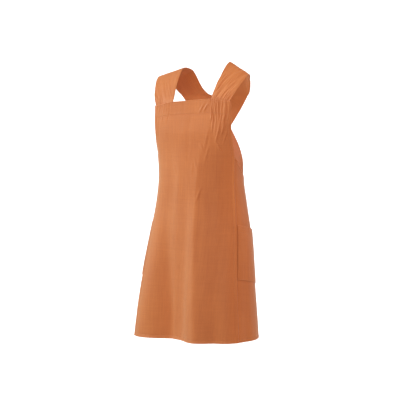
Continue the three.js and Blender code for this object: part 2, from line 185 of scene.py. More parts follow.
# Creases of the front: angle and drop of both ends, half width and height in millimetres
CREASES = [
    (17.5, 138, 22.6, 118, 2.2, 1.3),
    (23.6, 138, 30.6, 116, 2.2, 1.4),
    (44.2, 243, 50.5, 262, 2.4, 1.1),
    (41.5, 232, 47.5, 252, 2.2, 0.8),
    (20.3, 238, 25.6, 258, 2.4, 0.8),
    (12.2, 284, 17.4, 316, 2.6, 0.9),
    (24.6, 378, 17.2, 416, 2.6, 1.5),
    (9, 300, 8.2, 332, 2.4, 0.6),
    (76, 318, 74, 362, 3, 1.2),
    (-30, 300, -24, 340, 3, 0.5),
    (49, 168, 46, 214, 2.4, 1.1),
    (44, 176, 41, 232, 2.4, 1.2),
    (37, 158, 35, 200, 2.6, 1),
    (52, 196, 50, 240, 2.2, 0.9),
    (30, 196, 27, 262, 3, 0.9),
    (33, 250, 29, 300, 2.6, 0.9),
]

# Crest of the fold that catches the light on one side only: drop, angle
CREST_LINE = np.array([[120, 26], [169, 24.6], [244, 22], [373, 15], [507, 14], [700, 17.5], [861, 21]])


def smooth(value, low, high):
    t = np.clip((value - low) / (high - low), 0, 1)
    return t * t * (3 - 2 * t)


def look_up(table, place, column):
    """One column of a table at places along its first column, on a smooth curve."""
    keys, values = table[:, 0], table[:, column]
    last = len(keys) - 1
    low = np.maximum(np.arange(last + 1) - 1, 0)
    high = np.minimum(np.arange(last + 1) + 1, last)
    tangent = (values[high] - values[low]) / (keys[high] - keys[low])
    at = np.clip(place, keys[0], keys[-1])
    i = np.clip(np.searchsorted(keys, at, side="left") - 1, 0, last - 1)
    width = keys[i + 1] - keys[i]
    t = (at - keys[i]) / width
    return (
        (2 * t**3 - 3 * t**2 + 1) * values[i]
        + (t**3 - 2 * t**2 + t) * width * tangent[i]
        + (3 * t**2 - 2 * t**3) * values[i + 1]
        + (t**3 - t**2) * width * tangent[i + 1]
    )


def noise(u, v, seed):
    """Smooth values from -1 to 1 on a plane, one cell to a unit."""
    table = np.random.default_rng(seed).uniform(-1, 1, (64, 64))
    u, v = np.broadcast_arrays(np.asarray(u, float), np.asarray(v, float))
    i, j = np.floor(u).astype(int), np.floor(v).astype(int)
    a, b = u - i, v - j
    a, b = a * a * (3 - 2 * a), b * b * (3 - 2 * b)
    corner = lambda di, dj: table[(i + di) % 64, (j + dj) % 64]
    near = corner(0, 0) * (1 - a) + corner(1, 0) * a
    far = corner(0, 1) * (1 - a) + corner(1, 1) * a
    return near * (1 - b) + far * b


def fold_at(angle, drop):
    share = drop / HEM_DROP
    total = 0
    for at, lean, spread, depth, start in FOLDS:
        middle = at + np.sign(at) * lean * (1 - share)
        across = (angle - middle) / spread
        total = total + depth * FOLD_DEPTH * smooth(share, start, 1) * np.exp(-across * across)
    for at, lean, spread, height in SWELLS:
        across = (angle - at - lean * (1 - share)) / spread
        total = total + height * smooth(share, 0.2, 1) ** 0.7 * np.exp(-across * across)
    return total


def inner_point(angle, drop):
    """Point of the body's inner face, angle degrees round from the front towards the wearer's left."""
    share = drop / HEM_DROP
    half = look_up(SECTIONS, share, 1) * HEM_HALF_WIDTH
    front = look_up(SECTIONS, share, 2) * HEM_DEPTH
    back = look_up(SECTIONS, share, 3) * HEM_DEPTH
    centre = look_up(SECTIONS, share, 4) * HEM_DEPTH
    square = look_up(SECTIONS, share, 5)
    sine, cosine = np.sin(np.radians(angle)), np.cos(np.radians(angle))
    depth = np.where(cosine > 0, front, back)
    radius = (np.abs(sine / half) ** square + np.abs(cosine / depth) ** square) ** (-1 / square)
    radius = radius + fold_at(angle, drop)
    return np.stack(np.broadcast_arrays(radius * sine, centre - radius * cosine, -drop), -1)


ANGLE_STEP = 0.5


def cloth_point(angle, drop, out):
    """The inner face's point moved out along the level normal."""
    along = inner_point(angle + ANGLE_STEP, drop) - inner_point(angle - ANGLE_STEP, drop)
    normal = np.stack([along[..., 1], -along[..., 0], 0 * along[..., 0]], -1)
    normal /= np.linalg.norm(normal, axis=-1, keepdims=True)
    return inner_point(angle, drop) + normal * np.asarray(out)[..., None]


def angle_along(angle, distance, drop):
    steps = 16
    reached = angle + 0 * distance + 0 * drop
    for _ in range(steps):
        ends = inner_point(reached + ANGLE_STEP, drop) - inner_point(reached - ANGLE_STEP, drop)
        reached = reached + distance / steps * 2 * ANGLE_STEP / np.linalg.norm(ends, axis=-1)
    return reached


def side_angle(drop):
    return look_up(SIDE_EDGE, drop / HEM_DROP, 1)


def share_inside(distance):
    edge = side_angle(BIB_DROP)
    return float(angle_along(edge, -distance, BIB_DROP) / edge)


STRAP_SHARE = share_inside(STRAP_EDGE + STRAP_FRONT_WIDTH)


def tilted(drop, share):
    faded = np.clip((SEAM_DROP - drop) / (SEAM_DROP - BIB_DROP), 0, 1)
    return drop + faded * (BIB_SAG * smooth(np.abs(share), STRAP_SHARE, 1) - BIB_TILT * share)


def turned(distance):
    return HEM_EXTRA * (1 - smooth(distance, HEM_TURN, HEM_TURN + HEM_RAMP))


def stitched(distance, along):
    """How a turned edge rises, dips at its stitches and puckers between them and the edge."""
    dip = -GROOVE * np.exp(-(((distance - STITCH_IN) / 1.3) ** 2))
    inside = smooth(distance, 0, 2) * (1 - smooth(distance, STITCH_IN, STITCH_IN + 9))
    ripple = 0.35 * inside * noise(along / 6 - distance / 9, distance / 30, 7)
    puff = 0.35 * smooth(distance, 0, 2.5) * (1 - smooth(distance, STITCH_IN - 1.5, STITCH_IN + 1))
    return dip + ripple + puff


def gather_at(share, drop):
    """Gathers in the bib under a strap."""
    across = (np.abs(share) - STRAP_SHARE) / (1 - STRAP_SHARE)
    foot = BIB_DROP + BAND_HEIGHT
    across = across + np.where(share > 0, GATHER_SPREAD, 0) * np.clip(drop - foot, 0, PUCKER_FADE)
    inside = smooth(across, 0, 0.06) * (1 - smooth(across, 0.97, 1.0) * 0.6)
    faded = 1 - smooth(drop, foot, foot + PUCKER_FADE)
    place = np.where(share > 0, 0, 31) + across * STRAP_FRONT_WIDTH
    uneven = 1.3 * noise(place / 15, drop / 34, 4)
    wave = 1.7 * np.abs(np.sin(np.pi * GATHER_WAVES * across + uneven)) - 0.9
    fine = noise(place / 3.8, drop / 34, 3) + 0.5 * noise(place / 2.2, drop / 20, 5)
    below = noise(place / 7.5, drop / 70, 9) * smooth(drop, foot - 6, foot + 14)
    long = 1 - smooth(drop, foot + 10, foot + 130)
    strength = np.where(share > 0, 1.15, 0.25)
    return strength * inside * (faded * (0.7 * PUCKER * wave + 1.3 * fine) + 1.1 * long * below)


def creased(angle, drop):
    scale = 2.3  # millimetres to a degree, about
    total = 0
    for a0, d0, a1, d1, width, height in CREASES:
        start, way = np.array([a0 * scale, d0]), np.array([(a1 - a0) * scale, d1 - d0])
        length = np.hypot(*way)
        x, z = angle * scale - start[0], drop - start[1]
        t = (x * way[0] + z * way[1]) / length**2
        off = (x * way[1] - z * way[0]) / length
        ends = smooth(t, -0.25, 0.35) * (1 - smooth(t, 0.65, 1.25))
        ridge = np.exp(-((off / width) ** 2))
        hollow = np.exp(-(((off - 1.9 * width) / width) ** 2))
        total = total + CREASE_STRENGTH * height * ends * (ridge - 0.4 * hollow)
    return total


def rumpled(angle, drop):
    """Small unevenness of hanging linen."""
    around = angle * 2.5
    hang = smooth(drop, 150, 420)
    long = noise(around / 26, drop / 190, 11) * (0.25 + 0.75 * hang)
    middle = noise(around / 12, drop / 60, 12)
    small = noise(around / 6.5, drop / 14, 13)
    across = noise(around / 60, drop / 9, 14)
    crumpled = smooth(noise(around / 70, drop / 110, 15), -0.1, 0.6) * smooth(drop, 330, 520)
    return 0.8 * long + 0.22 * middle + (0.1 + 0.2 * crumpled) * small + 0.07 * across


def crest_at(angle, drop):
    off = angle - np.interp(drop, CREST_LINE[:, 0], CREST_LINE[:, 1]) - CREST_SHIFT
    tent = np.exp(-np.sqrt(off**2 + 1.2) / 8)
    return CREST_HEIGHT * smooth(drop, 150, 420) * tent


def front_point(share, drop, out):
    drawn_in = 0.022 * (1 - smooth(drop, 150, 250)) * smooth(-share, 0.5, 1)
    angle = share * side_angle(drop) * (1 - drawn_in)
    shape = gather_at(share, drop) + creased(angle, drop) + rumpled(angle, drop) + crest_at(angle, drop)
    return cloth_point(angle, tilted(drop, share), out + shape)


# Meshes
def boundary(rows, columns):
    """Row and column of each point round a grid's edge, in the order of its outer face."""
    r, c = np.arange(rows), np.arange(columns)
    return np.concatenate(
        [
            np.stack([0 * c[:-1], c[:-1]], 1),
            np.stack([r[:-1], 0 * r[:-1] + columns - 1], 1),
            np.stack([0 * c[:-1] + rows - 1, c[:0:-1]], 1),
            np.stack([r[:0:-1], 0 * r[:-1]], 1),
        ]
    )


def arc_coordinates(grid, column):
    """Lengths along a grid's rows from one column and along that column, in metres."""
    steps = np.linalg.norm(np.diff(grid, axis=1), axis=2)
    u = np.concatenate([np.zeros((len(grid), 1)), np.cumsum(steps, axis=1)], axis=1)
    u -= u[:, column : column + 1]
    down = np.linalg.norm(np.diff(grid[:, column], axis=0), axis=1)
    v = np.concatenate([[0], np.cumsum(down)])[:, None] + 0 * u
    return np.stack([u, v], -1) * MM


def wall(outer, inner, flipped=False, column=0, shift=(0, 0), edge=None):
    """A closed wall with a rounded rim between two grids. Returns points, quads and cloth values."""
    rows, columns = outer.shape[:2]
    count = rows * columns
    loop = boundary(rows, columns)
    r, c = loop[:, 0], loop[:, 1]
    inward = outer[np.clip(r, 1, rows - 2), np.clip(c, 1, columns - 2)] - outer[r, c]
    outward = -inward / np.maximum(np.linalg.norm(inward, axis=1, keepdims=True), 1e-9)
    thick = np.linalg.norm(outer[r, c] - inner[r, c], axis=1, keepdims=True)
    rim = (outer[r, c] + inner[r, c]) / 2 + outward * np.minimum(thick, 3) * 0.4
    points = np.concatenate([outer.reshape(-1, 3), inner.reshape(-1, 3), rim])

    at = np.arange(count).reshape(rows, columns)
    a, b, d, e = at[:-1, :-1].ravel(), at[:-1, 1:].ravel(), at[1:, 1:].ravel(), at[1:, :-1].ravel()
    quads = [np.stack([a, b, d, e], 1), count + np.stack([a, e, d, b], 1)]
    here = at[r, c]
    ahead = np.roll(here, -1)
    mid = 2 * count + np.arange(len(loop))
    mid_ahead = np.roll(mid, -1)
    quads.append(np.stack([ahead, here, mid, mid_ahead], 1))
    quads.append(np.stack([mid_ahead, mid, count + here, count + ahead], 1))
    quads = np.concatenate(quads)
    if flipped:
        quads = quads[:, ::-1]

    place = arc_coordinates((outer + inner) / 2, column) + np.asarray(shift)
    wear_and_painted_light = np.zeros((rows, columns)) if edge is None else edge
    value = np.concatenate([place, wear_and_painted_light[..., None]], -1)
    cloth = np.concatenate([value.reshape(-1, 3), value.reshape(-1, 3), value[r, c]])
    return points, quads, cloth


def stitches(line, normal, pitch=3.3, length=2.5, radius=0.33, lift=0.12):
    """Thread stitches along a line of points on a cloth with the given normals. Returns points and quads."""
    step = np.linalg.norm(np.diff(line, axis=0), axis=1)
    along = np.concatenate([[0], np.cumsum(step)])
    count = int((along[-1] - pitch) // pitch)
    if count < 1:
        return np.zeros((0, 3)), np.zeros((0, 4), int)
    starts = pitch * (np.arange(count) + 0.5)
    rings = np.array([0, 0.22, 0.5, 0.78, 1.0])
    sides = 6
    places = starts[:, None] + rings * length
    sample = lambda values: np.stack([np.interp(places, along, values[:, k]) for k in range(3)], -1)
    centre, up = sample(line), sample(normal)
    up /= np.linalg.norm(up, axis=-1, keepdims=True)
    ahead = centre[:, -1] - centre[:, 0]
    ahead = (ahead / np.linalg.norm(ahead, axis=-1, keepdims=True))[:, None]
    side = np.cross(ahead, up)
    rise = lift * 4 * rings * (1 - rings) - 0.35 * radius * (1 - 4 * rings * (1 - rings))
    fat = radius * (0.55 + 0.45 * np.sqrt(4 * rings * (1 - rings)))
    turn = 2 * np.pi * np.arange(sides) / sides
    spot = centre[:, :, None] + up[:, :, None] * rise[None, :, None, None]
    cosine, sine = np.cos(turn)[None, None, :, None], np.sin(turn)[None, None, :, None]
    spot = spot + fat[None, :, None, None] * (side[:, :, None] * cosine + up[:, :, None] * sine)
    points = spot.reshape(-1, 3)
    first = np.arange(count)[:, None, None] * len(rings) * sides
    ring = np.arange(len(rings) - 1)[None, :, None] * sides
    k = np.arange(sides)[None, None, :]
    a = first + ring + k
    b = first + ring + (k + 1) % sides
    quads = np.stack([a, a + sides, b + sides, b], -1).reshape(-1, 4)
    last_ring = (len(rings) - 1) * sides
    caps = []
    for base, order in (
        (0, (0, 1, 2, 3)),
        (0, (0, 3, 4, 5)),
        (last_ring, (3, 2, 1, 0)),
        (last_ring, (5, 4, 3, 0)),
    ):
        caps.append(first[:, 0, 0][:, None] + base + np.array(order))
    return points, np.concatenate([quads, *caps])


def grid_normals(grid, flipped=False):
    du = np.gradient(grid, axis=1)
    dv = np.gradient(grid, axis=0)
    normal = np.cross(du, dv)
    normal /= np.maximum(np.linalg.norm(normal, axis=-1, keepdims=True), 1e-9)
    return -normal if flipped else normal


def on_grid(values, rows, columns):
    """Values between a grid's points at fractional rows and columns."""
    rows, columns = np.broadcast_arrays(np.asarray(rows, float), np.asarray(columns, float))
    i = np.clip(np.floor(rows).astype(int), 0, values.shape[0] - 2)
    j = np.clip(np.floor(columns).astype(int), 0, values.shape[1] - 2)
    a, b = (rows - i)[..., None], (columns - j)[..., None]
    low = values[i, j] * (1 - b) + values[i, j + 1] * b
    high = values[i + 1, j] * (1 - b) + values[i + 1, j + 1] * b
    return low * (1 - a) + high * a


def seam_on(grid, rows, columns, flipped=False, **sizes):
    normal = grid_normals(grid, flipped)
    return stitches(on_grid(grid, rows, columns), on_grid(normal, rows, columns), **sizes)


def make_piece(name, shell, seams, materials):
    """A mesh object of one wall with its stitches."""
    points, quads, cloth = shell
    parts, faces, kinds, values = [points], [quads], [np.zeros(len(quads), int)], [cloth]
    total = len(points)
    for seam_points, seam_quads in seams:
        parts.append(seam_points)
        faces.append(seam_quads + total)
        kinds.append(np.ones(len(seam_quads), int))
        values.append(np.column_stack([seam_points[:, 0], seam_points[:, 2], 0 * seam_points[:, 0]]) * MM)
        total += len(seam_points)
    points, faces = np.concatenate(parts) * MM, np.concatenate(faces)
    mesh = bpy.data.meshes.new(name)
    mesh.from_pydata(points.tolist(), [], faces.tolist())
    mesh.polygons.foreach_set("material_index", np.concatenate(kinds).astype(np.int32))
    mesh.polygons.foreach_set("use_smooth", np.ones(len(faces), bool))
    attribute = mesh.attributes.new("cloth", "FLOAT_VECTOR", "POINT")
    attribute.data.foreach_set("vector", np.concatenate(values).astype(np.float32).ravel())
    for material in materials:
        mesh.materials.append(material)
    mesh.update()
    piece = bpy.data.objects.new(name, mesh)
    bpy.context.scene.collection.objects.link(piece)
    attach(piece, "root")
    return piece


# Materials
def new_material(name):
    material = bpy.data.materials.new(name)
    material.use_nodes = True
    tree = material.node_tree
    tree.nodes.clear()
    output = tree.nodes.new("ShaderNodeOutputMaterial")
    shader = tree.nodes.new("ShaderNodeBsdfPrincipled")
    tree.links.new(shader.outputs["BSDF"], output.inputs["Surface"])
    return material, tree, shader


def put(tree, socket, value):
    """Sets a socket to a number or colour, or links it."""
    if isinstance(value, bpy.types.NodeSocket):
        tree.links.new(value, socket)
    else:
        socket.default_value = value


def maths(tree, operation, first, second=0.0, third=None):
    node = tree.nodes.new("ShaderNodeMath")
    node.operation = operation
    put(tree, node.inputs[0], first)
    put(tree, node.inputs[1], second)
    if third is not None:
        put(tree, node.inputs[2], third)
    return node.outputs[0]


def weighted(tree, first, share, second):
    """The sum of two values, the first one's share and the rest of the second."""
    part = maths(tree, "MULTIPLY", first, share)
    return maths(tree, "ADD", part, maths(tree, "MULTIPLY", second, 1 - share))


def noise_node(tree, place, scale, detail=2.0, bent=0.0):
    """Noise in a space that is scaled along each axis. Its values are about 0.5."""
    mapping = tree.nodes.new("ShaderNodeMapping")
    put(tree, mapping.inputs["Vector"], place)
    mapping.inputs["Scale"].default_value = scale
    node = tree.nodes.new("ShaderNodeTexNoise")
    put(tree, node.inputs["Vector"], mapping.outputs[0])
    node.inputs["Scale"].default_value = 1.0
    node.inputs["Distortion"].default_value = bent
    node.inputs["Detail"].default_value = detail
    return node.outputs["Fac"]


def ramp(tree, value, low, high, to_low, to_high):
    node = tree.nodes.new("ShaderNodeMapRange")
    put(tree, node.inputs["Value"], value)
    for name, number in (("From Min", low), ("From Max", high), ("To Min", to_low), ("To Max", to_high)):
        node.inputs[name].default_value = number
    return node.outputs[0]


def mixed(tree, factor, first, second):
    node = tree.nodes.new("ShaderNodeMix")
    node.data_type = "RGBA"
    put(tree, node.inputs[0], factor)
    put(tree, node.inputs[6], first)
    put(tree, node.inputs[7], second)
    return node.outputs[2]


THREAD_PITCH = 0.00068


def linen_material():
    """Plain woven linen: threads, slubs, uneven dye and worn edges, with painted light and shade carried in
    the edge value.
    """
    material, tree, shader = new_material("linen")
    attribute = tree.nodes.new("ShaderNodeAttribute")
    attribute.attribute_name = "cloth"
    place = attribute.outputs["Vector"]
    parts = tree.nodes.new("ShaderNodeSeparateXYZ")
    put(tree, parts.inputs[0], place)
    u, v, edge = parts.outputs

    # Slubs: thick and thin stretches of the threads of both directions
    warp_fine = noise_node(tree, place, (900, 30, 0), bent=1.2)
    weft_fine = noise_node(tree, place, (30, 900, 0), bent=1.2)
    warp_broad = noise_node(tree, place, (230, 7, 0), 3.0, bent=1.6)
    weft_broad = noise_node(tree, place, (9, 270, 0), 3.0, bent=1.6)
    cloudy = noise_node(tree, place, (9, 7, 0), 4.0)

    # Threads over and under each other, a little uneven
    bend_u = maths(tree, "MULTIPLY_ADD", noise_node(tree, place, (60, 60, 0)), 0.0011, u)
    bend_v = maths(tree, "MULTIPLY_ADD", noise_node(tree, place, (55, 66, 1)), 0.0011, v)
    wave_u = maths(tree, "SINE", maths(tree, "MULTIPLY", bend_u, np.pi / THREAD_PITCH))
    wave_v = maths(tree, "SINE", maths(tree, "MULTIPLY", bend_v, np.pi / THREAD_PITCH))
    weave = maths(tree, "MULTIPLY", wave_u, wave_v)

    # Brightness from all of these
    slubs = weighted(tree, warp_fine, 0.5, weft_fine)
    broad = weighted(tree, warp_broad, 0.6, weft_broad)
    light = maths(tree, "MULTIPLY_ADD", weave, 0.05, ramp(tree, slubs, 0.35, 0.65, -0.16, 0.16))
    light = maths(tree, "ADD", light, ramp(tree, broad, 0.35, 0.65, -0.26, 0.26))
    light = maths(tree, "ADD", light, ramp(tree, cloudy, 0.3, 0.7, -0.2, 0.2))
    # The edge value lightens worn edges and also carries the painted highlight and shade of the side seam
    # and the painted light of the straps
    light = maths(tree, "MULTIPLY_ADD", edge, 0.22, light)
    factor = ramp(tree, light, -1.0, 1.0, 0.0, 1.0)
    colour = mixed(tree, factor, (0.48, 0.102, 0.0145, 1), (0.725, 0.214, 0.046, 1))
    put(tree, shader.inputs["Base Color"], colour)

    rough = ramp(tree, slubs, 0.3, 0.7, 0.56, 0.72)
    put(tree, shader.inputs["Roughness"], rough)
    shader.inputs["Specular IOR Level"].default_value = 0.7
    shader.inputs["Sheen Weight"].default_value = 0.3
    shader.inputs["Sheen Roughness"].default_value = 0.45
    shader.inputs["Sheen Tint"].default_value = (1.0, 0.85, 0.7, 1)

    height = maths(tree, "MULTIPLY_ADD", weave, 0.3, maths(tree, "MULTIPLY", slubs, 0.9))
    height = maths(tree, "MULTIPLY_ADD", broad, 1.5, height)
    bump = tree.nodes.new("ShaderNodeBump")
    bump.inputs["Strength"].default_value = 0.45
    bump.inputs["Distance"].default_value = 0.0002
    put(tree, bump.inputs["Height"], height)
    put(tree, shader.inputs["Normal"], bump.outputs[0])
    return material


def thread_material():
    """Sewing thread of the same colour."""
    material, tree, shader = new_material("thread")
    attribute = tree.nodes.new("ShaderNodeAttribute")
    attribute.attribute_name = "cloth"
    fibres = noise_node(tree, attribute.outputs["Vector"], (3000, 3000, 0), 3.0)
    colour = mixed(tree, ramp(tree, fibres, 0.3, 0.7, 0, 1), (0.44, 0.13, 0.04, 1), (0.7, 0.28, 0.11, 1))
    put(tree, shader.inputs["Base Color"], colour)
    put(tree, shader.inputs["Roughness"], ramp(tree, fibres, 0.3, 0.7, 0.5, 0.75))
    shader.inputs["Sheen Weight"].default_value = 0.1
    bump = tree.nodes.new("ShaderNodeBump")
    bump.inputs["Strength"].default_value = 0.4
    bump.inputs["Distance"].default_value = 0.0001
    put(tree, bump.inputs["Height"], fibres)
    put(tree, shader.inputs["Normal"], bump.outputs[0])
    return material


LINEN = [linen_material(), thread_material()]


def even(low, high, step):
    count = max(int(round(abs(high - low) / step)), 1)
    return np.linspace(low, high, count + 1)


EDGE_PLACES = np.array([0, 0.6, 1.5, 3, 4.6, 6.2, 7.2, 7.9, 8.6, 9.3, 10, 11.2, 13, 15.5])


# Front panel
def front_shares():
    outside = even(1, STRAP_SHARE, (1 - STRAP_SHARE) / 54)
    middle = even(STRAP_SHARE, -STRAP_SHARE, 2 * STRAP_SHARE / 60)
    return np.concatenate([outside, middle[1:-1], -outside[::-1]])[::-1]


def width_at(drop):
    """Half of the front panel's width round the cloth."""
    angle = side_angle(drop)
    shares = np.linspace(0, 1, 40)
    line = inner_point(angle[:, None] * shares, drop[:, None] + 0 * shares)
    return np.linalg.norm(np.diff(line, axis=1), axis=2).sum(1)


def front_panel():
    foot = BIB_DROP + BAND_HEIGHT
    drops = np.concatenate(
        [
            HEM_DROP - EDGE_PLACES[:-1],
            even(HEM_DROP - EDGE_PLACES[-1], SEAM_DROP, 3.5),
            even(SEAM_DROP, foot + 2.4, 2.4)[1:],
            [foot + 1, foot + 0.4, foot],
            even(foot, BIB_DROP, 3)[1:],
        ]
    )
    shares = front_shares()
    share, drop = np.meshgrid(shares, drops)
    width = width_at(drops)[:, None]
    to_hem = HEM_DROP - drop
    from_side = (1 - np.abs(share)) * width
    armhole = np.where((drop < SEAM_DROP) & (drop > foot), from_side, 1e3)
    around = share * width
    shape = stitched(to_hem, around) + np.where(armhole < 1e3, stitched(armhole, drop), 0)
    shape = shape + HEM_CURL * (1 - smooth(to_hem, 0, 5))
    seam = np.where(drop >= SEAM_DROP, from_side, 1e3)
    pocket_foot = POCKET_DROP + POCKET_HEIGHT
    beside_pocket = smooth(drop, POCKET_DROP - 4, POCKET_DROP + 6)
    beside_pocket = beside_pocket * (1 - smooth(drop, POCKET_DROP + 96, pocket_foot))
    pressed = (1.45 - 1.9 * beside_pocket) * (1 - smooth(seam, 0, 2.6))
    felled = SEAM_RIDGE * (1 - smooth(seam, 6.5, 11)) - pressed
    shape = shape + felled - 0.35 * np.exp(-(((seam - 9.5) / 1.5) ** 2))
    # The cloth stands up to the band's foot, so that the step there is low
    lowering = 1 - smooth(drop, foot + 2.4, foot + 40)
    lip = smooth(drop, foot, foot + 0.4) * lowering
    shape = shape + 0.25 * smooth(drop, foot - 2, foot) * lowering + 0.9 * lip
    outer = front_point(share, drop, CLOTH + shape)
    inner = front_point(share, drop, shape * (to_hem > 12) - turned(np.minimum(to_hem, armhole)))
    wear_and_painted_light = np.exp(-((np.minimum(to_hem, armhole) / 2) ** 2))
    # Above the pocket the side seam gets a painted highlight on its ridge and painted shade in its groove,
    # added to the edge wear value
    above_pocket = 1 - smooth(drop, POCKET_DROP - 10, POCKET_DROP + 4)
    ridge = 2.2 * np.exp(-(((seam - 7) / 2.6) ** 2))
    painted_groove_shade = 1.6 * np.exp(-((seam / 1.8) ** 2))
    wear_and_painted_light = wear_and_painted_light + above_pocket * (ridge - painted_groove_shade)
    row_of = lambda value: np.interp(-value, -drops, np.arange(len(drops)))
    column_of = lambda value: np.interp(value, shares, np.arange(len(shares)))
    seams = [seam_on(outer, row_of(HEM_DROP - STITCH_IN), np.linspace(0, len(shares) - 1, 400))]
    hole = np.linspace(foot + 2, SEAM_DROP - 1, 90)
    for side in (-1, 1):
        at = column_of(side * (1 - STITCH_IN / width_at(hole)))
        seams.append(seam_on(outer, row_of(hole), at))
    middle = len(shares) // 2
    return make_piece("front_panel_linen", wall(outer, inner, column=middle, edge=wear_and_painted_light), seams, LINEN)


def bib_band():
    shares = front_shares()
    drops = np.append(even(BIB_DROP, BIB_DROP + BAND_HEIGHT - 0.3, 1.5), BIB_DROP + BAND_HEIGHT)
    top = BIB_DROP - GAP
    arc = np.radians(np.linspace(0, 180, 9))[1:-1]
    middle = CLOTH / 2
    half = 1.5 * CLOTH + GAP
    outside = [(d, 2 * CLOTH + GAP) for d in drops[::-1]]
    outside += [(top - 1.1 * CLOTH * np.sin(t) - 0.15, middle + half * np.cos(t)) for t in arc]
    outside += [(d, -CLOTH - GAP) for d in drops]
    inside = [(d, CLOTH + GAP) for d in drops[::-1]]
    inside += [(top - 0.1 * np.sin(t), middle + (half - CLOTH) * np.cos(t)) for t in arc]
    inside += [(d, -GAP) for d in drops]

    def face(profile, outer):
        drop = np.array([p[0] for p in profile])[:, None]
        out = np.array([p[1] for p in profile])[:, None]
        share = shares[None]
        foot = BIB_DROP + BAND_HEIGHT - drop
        at_foot = 0.2 * GROOVE * np.exp(-(((foot - 3) / 1.2) ** 2))
        at_top = GROOVE * np.exp(-(((drop - BIB_DROP - 3) / 1.2) ** 2))
        dip = -at_foot - at_top
        ripple = 0.16 * noise(share * 34, drop / 12, 21)
        pressed = -0.3 * (1 - smooth(foot, 0, 2.6)) if outer else 0
        shape = np.where(np.arange(len(profile))[:, None] < len(drops), dip + ripple + pressed, 0)
        at = front_point(share + 0 * drop, np.maximum(drop, BIB_DROP) + 0 * share, out + shape + 0 * share)
        at[..., 2] += np.maximum(BIB_DROP - drop, 0)
        return at

    outer, inner = face(outside, True), face(inside, False)
    rows = len(outside)
    wear_and_painted_light = np.exp(-(((np.arange(rows)[:, None] - len(drops) - 3) / 2.5) ** 2)) + 0 * shares[None]
    columns = np.linspace(2, len(shares) - 3, 500)
    seams = [seam_on(outer, 2.8, columns), seam_on(outer, len(drops) - 3.0, columns)]
    shell = wall(outer, inner, column=len(shares) // 2, shift=(0.013, 0.4), edge=wear_and_painted_light)
    return make_piece("bib_band_linen", shell, seams, LINEN)


# Back panels and pockets
def back_width(drop):
    drop = np.atleast_1d(np.asarray(drop, float))
    opened = BACK_OPENING + BACK_SPREAD * np.clip((drop - BACK_DROP) / (HEM_DROP - BACK_DROP), 0, 1)
    start, end = side_angle(drop), angle_along(180, -opened / 2, drop)
    t = np.linspace(0, 1, 25)
    line = inner_point(start[:, None] + (end - start)[:, None] * t, drop[:, None] + 0 * t)
    return np.linalg.norm(np.diff(line, axis=1), axis=2).sum(1)


FULL_BACK = float(back_width(BACK_DROP)[0])


def back_point(side, distance, drop, out):
    under = CLOTH + np.where(drop < SEAM_DROP + 8, 1.4, 0.5)
    depth = out - under * (1 - smooth(distance, 0.4, 4))
    angle = angle_along(side * side_angle(drop), side * distance, drop)
    shown = smooth(distance, SEAM_STEP, SEAM_STEP + 12)
    return cloth_point(angle, drop, depth + shown * rumpled(angle, drop))


def back_top(distance):
    share = np.clip(distance / FULL_BACK, 0, 1)
    return SEAM_DROP + (BACK_DROP - SEAM_DROP) * look_up(BACK_EDGE, share, 1)


def back_panel(side):
    name = "left" if side > 0 else "right"
    near = np.array([-SEAM_LAP, -8, -4, 0, 2, 4, SEAM_STEP])
    far = FULL_BACK - EDGE_PLACES[::-1]
    shares = np.concatenate([near, even(SEAM_STEP, far[0], 3)[1:-1], far]) / FULL_BACK
    ups = EDGE_PLACES
    t = np.linspace(0, 1, 150)[1:-1]
    tops = back_top(shares * FULL_BACK)
    length = HEM_DROP - tops
    low = ups[:, None] + 0 * length
    middle = ups[-1] + t[:, None] * (length - 2 * ups[-1])
    high = length - ups[::-1][:, None]
    up = np.concatenate([low, middle, high])
    drop = HEM_DROP - up
    share = shares[None] + 0 * drop
    width = back_width(drop.ravel()).reshape(drop.shape)
    distance = np.where(share > 0, share * width, share * FULL_BACK)
    to_hem, to_top, to_back = up, length[None] - up, width - distance
    nearest = np.minimum(np.minimum(to_hem, to_top), to_back)
    shape = stitched(to_hem, distance) + stitched(to_top, distance) + stitched(to_back, drop)
    outer = back_point(side, distance, drop, CLOTH + shape)
    inner = back_point(side, distance, drop, -turned(nearest))
    rows, columns = drop.shape
    seams = []
    every = np.linspace(0, columns - 1, 300)
    in_hem = float(np.interp(STITCH_IN, ups, np.arange(len(ups))))
    seams.append(seam_on(outer, in_hem, every[10:], side < 0))
    seams.append(seam_on(outer, rows - 1 - in_hem, every[12:], side < 0))
    seams.append(seam_on(outer, np.linspace(in_hem, rows - 1 - in_hem, 300), columns - 1 - in_hem, side < 0))
    strap_from = (FULL_BACK - STRAP_WIDTH / np.cos(np.radians(CROSS_SLOPE)) - HEM_TURN / 2) / FULL_BACK
    first = float(np.interp(strap_from, shares, np.arange(columns)))
    level = np.linspace(first, columns - 1 - in_hem, 120)
    row_low = float(np.interp(-(BACK_DROP + STRAP_TAIL - 5), -drop[:, -20], np.arange(rows)))
    seams.append(seam_on(outer, row_low, level, side < 0))
    wear_and_painted_light = np.exp(-((nearest / 2) ** 2))
    shell = wall(outer, inner, side < 0, shift=(1.3 * side, 0.2), edge=wear_and_painted_light)
    return make_piece(f"back_panel_{name}_linen", shell, seams, LINEN)


